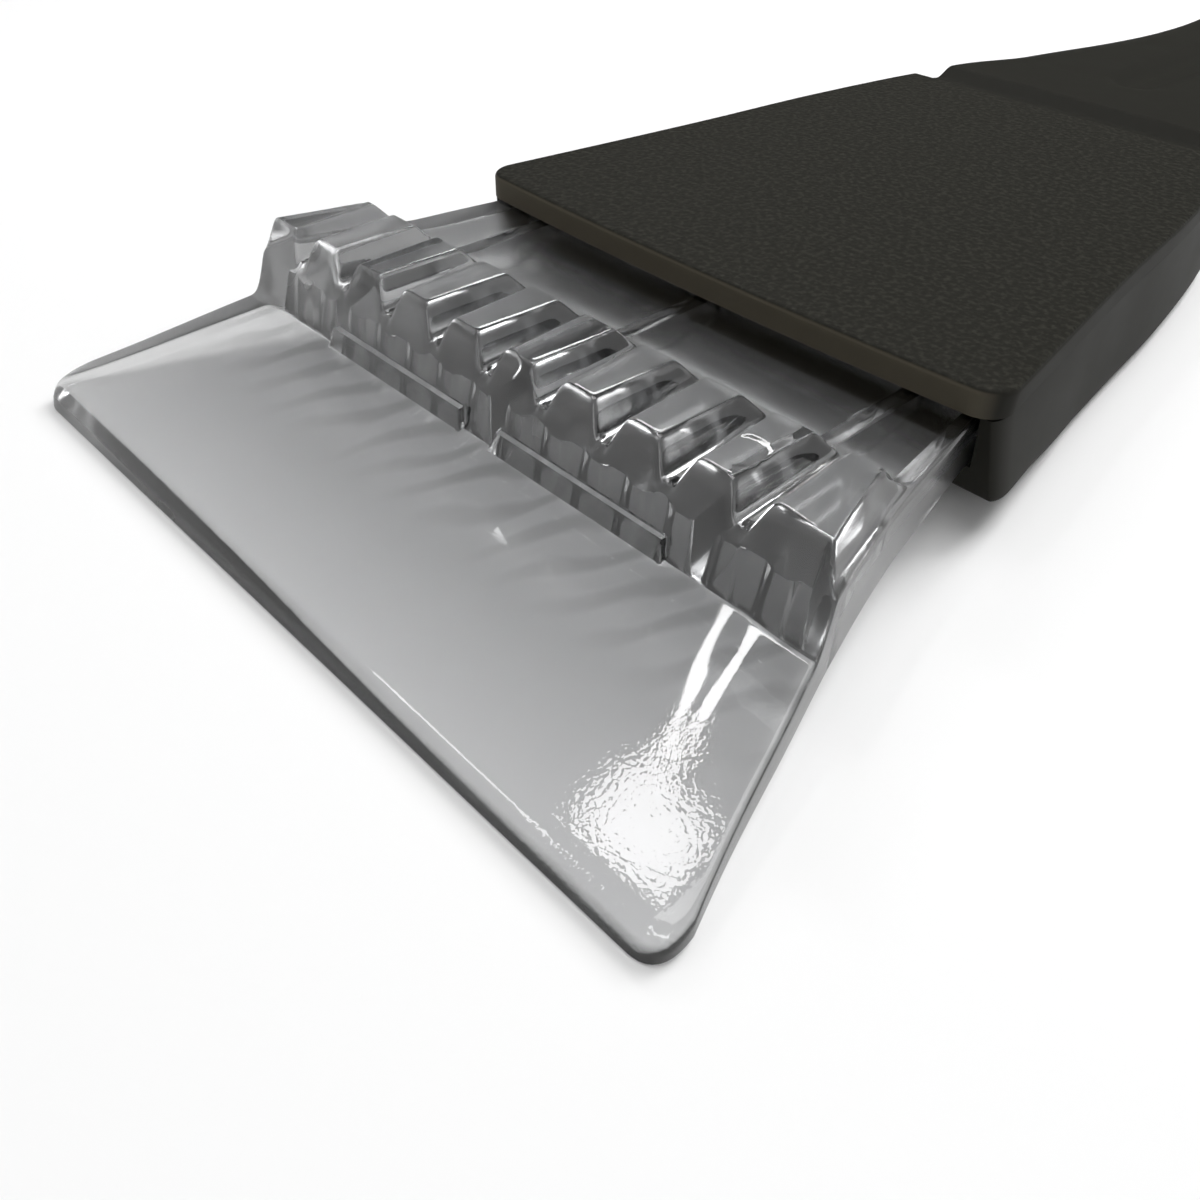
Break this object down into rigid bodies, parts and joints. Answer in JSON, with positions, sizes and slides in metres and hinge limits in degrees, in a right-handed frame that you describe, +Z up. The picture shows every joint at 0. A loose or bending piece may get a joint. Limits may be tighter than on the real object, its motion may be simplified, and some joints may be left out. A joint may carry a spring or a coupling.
{
  "type": "ice scraper",
  "caption": "Hand ice scraper: a clear wedge blade with a row of ice-breaker teeth, clamped in a dark two-part handle held together by screws from below",
  "frame": {"origin": "centre of the bounding box on the plane that the tool lies on", "axes": "+X across the blade, to the right when looking from the blade to the handle; +Y from the blade's front edge to the end of the handle; +Z up, out of the leather-grained panel"},
  "size_m": [0.1086, 0.27, 0.0194],
  "materials": {
    "clear_plastic": "clear polycarbonate with a faint smoke tint, polished",
    "cover_plastic": "dark charcoal with a fine leather grain on the panel",
    "shell_plastic": "dark charcoal, smooth satin",
    "screw_steel": "zinc plated"
  },
  "bodies": {
    "root": {"scraper_blade": "clear_plastic", "upper_cover": "cover_plastic", "lower_shell": "shell_plastic", "screw_front_left": "screw_steel", "screw_front_right": "screw_steel", "screw_middle_left": "screw_steel", "screw_middle_right": "screw_steel", "screw_rear": "screw_steel"}
  },
  "joints": []
}
